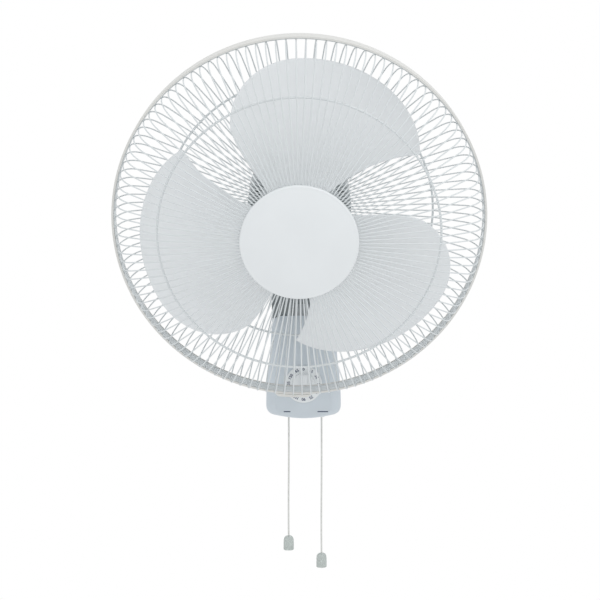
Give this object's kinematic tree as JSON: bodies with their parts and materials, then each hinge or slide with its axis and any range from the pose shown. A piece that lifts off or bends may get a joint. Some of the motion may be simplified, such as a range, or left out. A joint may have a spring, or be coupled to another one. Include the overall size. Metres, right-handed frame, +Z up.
{
  "type": "wall mounted fan",
  "caption": "Wall fan: round wire guard on a tilting and swinging neck above a wall box with a timer dial and two hanging pull cords.",
  "frame": {"origin": "middle of the wall plate's back face, which lies on the wall", "axes": "+Z up, +Y into the wall, +X to the right of someone facing the fan, which blows towards -Y"},
  "size_m": [0.345, 0.2998, 0.5126],
  "materials": {
    "bearing_brass": "satin",
    "black_plastic": "matte",
    "blade_plastic": "gloss",
    "box_plastic": "satin",
    "coated_wire": "powder coated",
    "copper_winding": "enamelled",
    "cord_fabric": "braided",
    "dark_steel": "matte",
    "grey_plastic": "matte",
    "milky_plastic": "translucent",
    "motor_paint": "satin",
    "pale_plastic": "satin",
    "zinc_steel": "zinc plated"
  },
  "bodies": {
    "wall_box": {"wall_plate": "zinc_steel", "wall_screw_upper": "zinc_steel", "wall_screw_lower": "zinc_steel", "box_rear_cover": "box_plastic", "box_front_cover": "box_plastic", "tilt_post": "zinc_steel", "tilt_bolt": "zinc_steel", "tilt_nut": "zinc_steel", "timer_unit": "black_plastic", "cord_inlet_bush": "grey_plastic", "speed_switch": "black_plastic", "speed_cord_eyelet": "pale_plastic", "swing_switch": "black_plastic", "swing_cord_eyelet": "pale_plastic"},
    "tilting_neck": {"neck": "grey_plastic"},
    "swing_link": {"swing_link": "zinc_steel"},
    "swinging_head": {"swing_bracket": "dark_steel", "swivel_pin": "zinc_steel", "swing_motor": "zinc_steel", "motor_front_housing": "motor_paint", "motor_rear_housing": "motor_paint", "stator_core": "dark_steel", "stator_front_winding": "copper_winding", "stator_rear_winding": "copper_winding", "front_bearing": "bearing_brass", "rear_bearing": "bearing_brass", "guard_nut": "pale_plastic", "rear_guard": "coated_wire", "rear_guard_hoop": "coated_wire", "front_guard": "coated_wire", "front_guard_hoop": "coated_wire", "guard_band": "pale_plastic", "guard_clasp": "pale_plastic", "guard_screw": "zinc_steel", "front_cap": "pale_plastic"},
    "swing_crank": {"swing_crank": "black_plastic"},
    "fan_rotor": {"motor_shaft": "zinc_steel", "motor_rotor": "dark_steel", "blade_drive_pin": "zinc_steel", "blade": "blade_plastic", "blade_nut": "pale_plastic"},
    "timer_dial": {"timer_dial": "pale_plastic"},
    "speed_pull": {"speed_cord": "cord_fabric", "speed_cord_pull": "milky_plastic"},
    "swing_pull": {"swing_cord": "cord_fabric", "swing_cord_pull": "milky_plastic"}
  },
  "joints": [
    {"name": "head_tilt", "type": "hinge", "parent": "wall_box", "child": "tilting_neck", "pos_m": [0, -0.084, 0.0448], "axis": [1, 0, 0], "range_deg": [-22, 13]},
    {"name": "head_swing", "type": "hinge", "parent": "tilting_neck", "child": "swinging_head", "pos_m": [0, -0.084, 0.0448], "axis": [0, -0.3746, 0.9272], "range_deg": [-40, 40]},
    {"name": "link_swing", "type": "hinge", "parent": "tilting_neck", "child": "swing_link", "pos_m": [0.015, -0.10206, 0.08949], "axis": [0, -0.3746, 0.9272], "range_deg": [-42.5, 42.5]},
    {"name": "crank_turn", "type": "hinge", "parent": "swinging_head", "child": "swing_crank", "pos_m": [0.015, -0.07207, 0.10603], "axis": [0, -0.3746, 0.9272], "range_deg": [-90.5, 90.5]},
    {"name": "blade_spin", "type": "hinge", "parent": "swinging_head", "child": "fan_rotor", "pos_m": [-0.0043, -0.20998, 0.11103], "axis": [0, -0.9272, -0.3746], "continuous": true},
    {"name": "timer_turn", "type": "hinge", "parent": "wall_box", "child": "timer_dial", "pos_m": [0, -0.0973, -0.046], "axis": [0, 1, 0], "range_deg": [0, 300]},
    {"name": "speed_pull_travel", "type": "slide", "parent": "wall_box", "child": "speed_pull", "axis": [0, 0, -1], "range_m": [0, 0.012], "stiffness_N_per_m": 300},
    {"name": "swing_pull_travel", "type": "slide", "parent": "wall_box", "child": "swing_pull", "axis": [0, 0, -1], "range_m": [0, 0.012], "stiffness_N_per_m": 300}
  ],
  "couplings": [
    {"joint": "link_swing", "follows": "head_swing", "ratio": 1.05},
    {"joint": "crank_turn", "follows": "head_swing", "ratio": -2.25}
  ]
}
